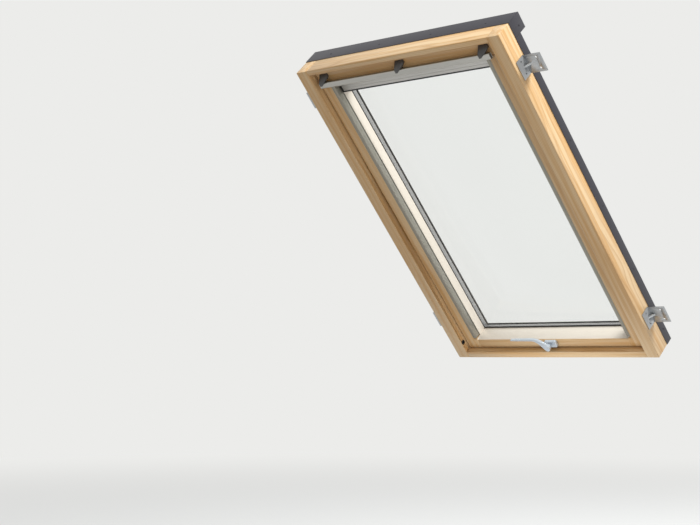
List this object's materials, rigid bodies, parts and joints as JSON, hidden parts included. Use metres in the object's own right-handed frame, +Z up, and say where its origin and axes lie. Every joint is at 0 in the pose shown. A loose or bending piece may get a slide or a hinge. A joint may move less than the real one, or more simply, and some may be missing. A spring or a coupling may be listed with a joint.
{
  "type": "roof window",
  "caption": "Pine roof window for a pitched roof: top-hung sash that also turns for cleaning, ventilation flap with control bar, bottom lever and slim blind.",
  "frame": {"origin": "middle of the frame, in the plane where its roof brackets rest", "axes": "+X across the window, +Y level and out of the building, +Z up; the window leans back at the roof pitch of 48 degrees"},
  "size_m": [0.9, 0.8613, 0.9561],
  "materials": {
    "pine": "clear lacquer",
    "dark_aluminium": "matt powder coat",
    "white_plastic": "satin",
    "zinc_steel": "zinc plated",
    "black_plastic": "matt",
    "grey_plastic": "satin",
    "glass": "clear",
    "spacer_aluminium": "satin",
    "rubber": "matt",
    "channel_aluminium": "satin anodised",
    "bar_aluminium": "satin anodised",
    "satin_silver": "satin silver",
    "blind_cloth": "plain",
    "foam": "open foam"
  },
  "bodies": {
    "frame": {"frame_head": "pine", "frame_sill": "pine", "frame_jamb_left": "pine", "frame_jamb_right": "pine", "frame_covers_side": "dark_aluminium", "frame_cover_bottom": "dark_aluminium", "hood": "dark_aluminium", "hood_ends": "dark_aluminium", "jamb_liners": "white_plastic", "sill_keeps": "zinc_steel", "bolt_bush": "black_plastic", "hinge_brackets": "zinc_steel", "roof_brackets_top": "zinc_steel", "roof_brackets_bottom": "zinc_steel", "frame_screws": "zinc_steel"},
    "hinge_arms": {"hinge_arm_left": "zinc_steel", "hinge_arm_right": "zinc_steel", "hinge_pins": "zinc_steel", "pivot_blocks": "black_plastic", "cross_rail": "dark_aluminium", "latch_keep": "zinc_steel", "arm_covers": "dark_aluminium", "roll_cover": "dark_aluminium"},
    "sash": {"sash_stile_left": "pine", "sash_stile_right": "pine", "sash_top_rail": "pine", "sash_bottom_rail": "pine", "pane_inner": "glass", "pane_outer": "glass", "pane_spacer": "spacer_aluminium", "glazing_seal": "rubber", "sash_seal": "rubber", "sash_cladding_left": "dark_aluminium", "sash_cladding_right": "dark_aluminium", "sash_cladding_low": "dark_aluminium", "sash_cladding_bottom": "dark_aluminium", "sash_cladding_top": "dark_aluminium", "side_liners": "white_plastic", "pivot_pins": "zinc_steel", "side_channels": "channel_aluminium", "blind_cassette": "channel_aluminium", "blind_roll": "blind_cloth", "handle_base": "grey_plastic", "lock_housing": "zinc_steel", "lock_faceplate": "zinc_steel", "latch_housing": "black_plastic", "bolt_housing": "black_plastic", "flap_hinge_fixed": "zinc_steel", "air_filter": "foam"},
    "lever": {"handle_lever": "satin_silver"},
    "cam_rod": {"lock_rod": "zinc_steel"},
    "flap": {"vent_flap": "pine", "flap_hinge_moving": "zinc_steel", "control_bar": "bar_aluminium", "bar_brackets": "grey_plastic"},
    "head_latch": {"top_latch": "zinc_steel"},
    "cleaning_bolt": {"barrel_bolt": "zinc_steel"},
    "blind_bar": {"pull_bar": "channel_aluminium", "pull_bar_ends": "black_plastic"}
  },
  "joints": [
    {"name": "top_hinge", "type": "hinge", "parent": "frame", "child": "hinge_arms", "pos_m": [0, -0.34611, 0.4621], "axis": [1, 0, 0], "range_deg": [0, 45]},
    {"name": "cleaning_pivot", "type": "hinge", "parent": "hinge_arms", "child": "sash", "pos_m": [0, 0.01828, 0.02453], "axis": [1, 0, 0], "range_deg": [0, 169.33]},
    {"name": "lever_turn", "type": "hinge", "parent": "sash", "child": "lever", "pos_m": [0, 0.34454, -0.42449], "axis": [0, 0.7431, 0.6691], "range_deg": [0, 90]},
    {"name": "rod_slide", "type": "slide", "parent": "sash", "child": "cam_rod", "axis": [-1, 0, 0], "range_m": [0, 0.0161]},
    {"name": "flap_tilt", "type": "hinge", "parent": "sash", "child": "flap", "pos_m": [0, -0.36686, 0.37008], "axis": [1, 0, 0], "range_deg": [0, 30]},
    {"name": "latch_slide", "type": "slide", "parent": "sash", "child": "head_latch", "axis": [0, 0.6691, -0.7431], "range_m": [0, 0.01205]},
    {"name": "bolt_slide", "type": "slide", "parent": "sash", "child": "cleaning_bolt", "axis": [-1, 0, 0], "range_m": [0, 0.014]},
    {"name": "blind_slide", "type": "slide", "parent": "sash", "child": "blind_bar", "axis": [0, 0.6691, -0.7431], "range_m": [0, 0.995]}
  ],
  "couplings": [
    {"joint": "rod_slide", "follows": "lever_turn", "m_per_rad": 0.010186},
    {"joint": "latch_slide", "follows": "flap_tilt", "m_per_rad": 0.022918}
  ]
}
